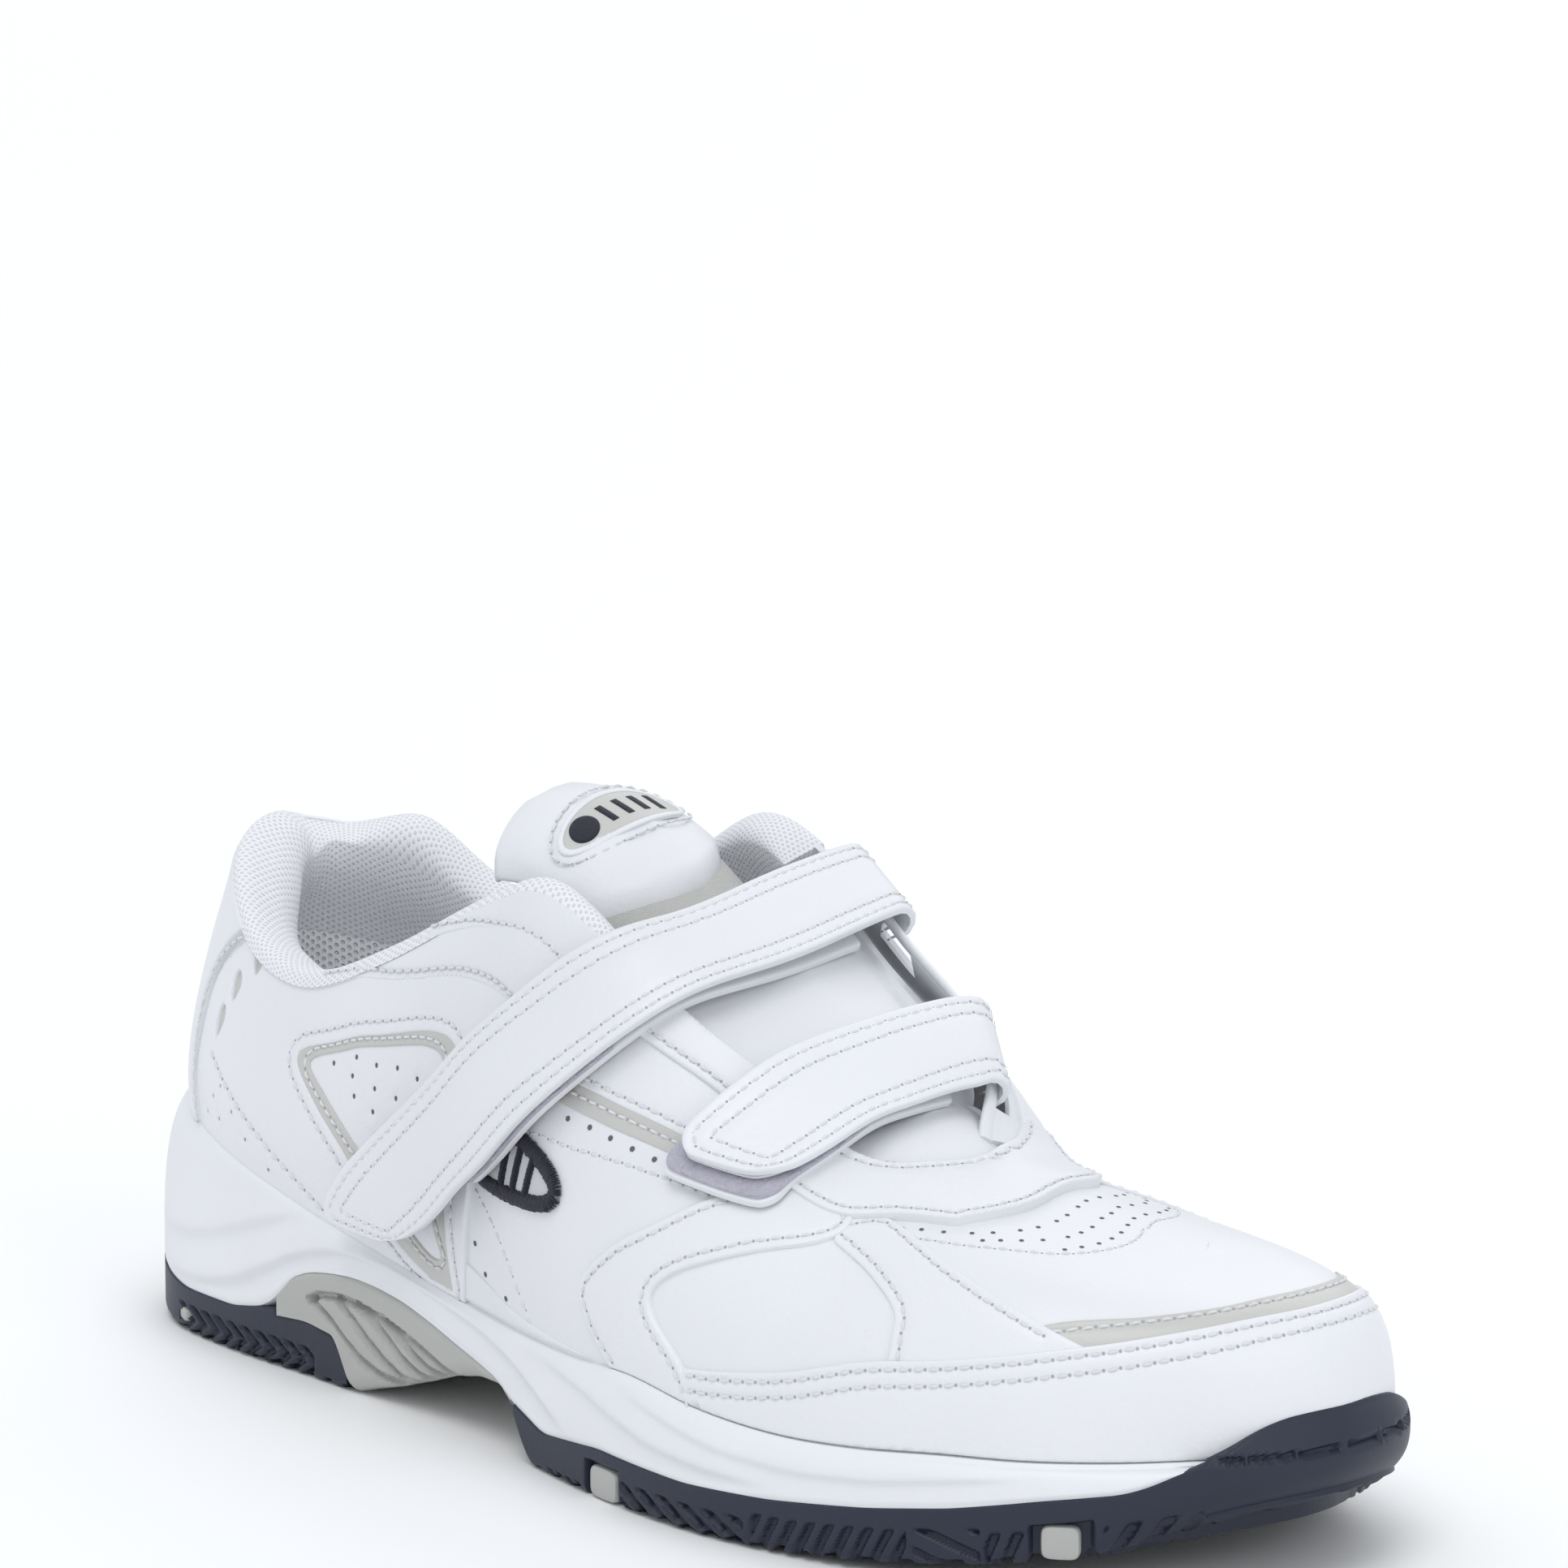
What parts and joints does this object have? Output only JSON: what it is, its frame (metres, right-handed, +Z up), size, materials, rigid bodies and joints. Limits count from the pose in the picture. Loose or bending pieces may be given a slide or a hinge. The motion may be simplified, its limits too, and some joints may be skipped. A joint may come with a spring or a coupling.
{
  "type": "court shoe",
  "caption": "Low court shoe for the right foot with a padded collar and tongue, hook and loop straps, a cupped midsole and a wrapped rubber outsole.",
  "frame": {"origin": "on the ground, under the middle of the shoe's box", "axes": "+X towards the toe, +Y towards the medial (inner) side, +Z up"},
  "size_m": [0.3012, 0.1066, 0.1165],
  "materials": {
    "navy_rubber": "matte moulded rubber",
    "grey_tpu": "satin moulded plastic",
    "white_foam": "matte moulded foam",
    "board": "matte board",
    "sock": "matte textile",
    "white_leather": "satin coated leather",
    "grey_leather": "satin coated leather",
    "knit_lining": "matte knit mesh",
    "soft_foam": "open cell foam",
    "stiffener": "matte board",
    "tongue_textile": "matte textile",
    "loop_pile": "brushed loop pile",
    "hook_tape": "matte hook tape",
    "navy_thread": "satin embroidery"
  },
  "bodies": {
    "shoe": {"outsole_forefoot": "navy_rubber", "outsole_heel": "navy_rubber", "shank": "grey_tpu", "forefoot_pods": "grey_tpu", "heel_plug": "grey_tpu", "midsole": "white_foam", "insole_board": "board", "sockliner": "sock", "vamp": "white_leather", "lateral_quarter": "white_leather", "medial_quarter": "white_leather", "toe_cap": "white_leather", "toe_trim": "grey_leather", "lateral_forefoot_overlay": "white_leather", "medial_forefoot_overlay": "white_leather", "lateral_saddle": "white_leather", "medial_saddle": "white_leather", "lateral_collar_panel": "white_leather", "medial_collar_panel": "white_leather", "lateral_eyestay": "white_leather", "medial_eyestay": "white_leather", "throat_band": "white_leather", "heel_cap": "white_leather", "heel_inlay": "grey_leather", "lateral_window_piping": "grey_leather", "medial_window_piping": "grey_leather", "lateral_stripe": "grey_leather", "side_badge": "navy_thread", "collar_lining": "knit_lining", "collar_foam": "soft_foam", "collar_binding": "knit_lining", "vamp_lining": "knit_lining", "heel_counter": "stiffener", "toe_puff": "stiffener", "tongue_base": "tongue_textile", "medial_keeper": "white_leather", "front_strap_lower": "white_leather", "rear_strap_lower": "white_leather", "front_loop_pile": "loop_pile", "rear_loop_pile": "loop_pile"},
    "front_strap": {"front_strap_upper": "white_leather", "front_hook_patch": "hook_tape"},
    "rear_strap": {"rear_strap_upper": "white_leather", "rear_hook_patch": "hook_tape"},
    "tongue_top": {"tongue_top_shell": "white_leather", "tongue_foam": "soft_foam", "tongue_lining": "knit_lining", "tongue_label": "grey_leather"}
  },
  "joints": [
    {"name": "front_strap_open", "type": "hinge", "parent": "shoe", "child": "front_strap", "pos_m": [0.05332, 0.01421, 0.0772], "axis": [-0.7256, 0.4263, 0.5401], "range_deg": [0, 110]},
    {"name": "rear_strap_open", "type": "hinge", "parent": "shoe", "child": "rear_strap", "pos_m": [0.0128, 0.02503, 0.09916], "axis": [-0.8769, 0.1439, 0.4586], "range_deg": [0, 110]},
    {"name": "tongue_lift", "type": "hinge", "parent": "shoe", "child": "tongue_top", "pos_m": [0.00615, -0.0005, 0.0987], "axis": [-0.2332, 0.9577, 0.1687], "range_deg": [0, 18]}
  ]
}
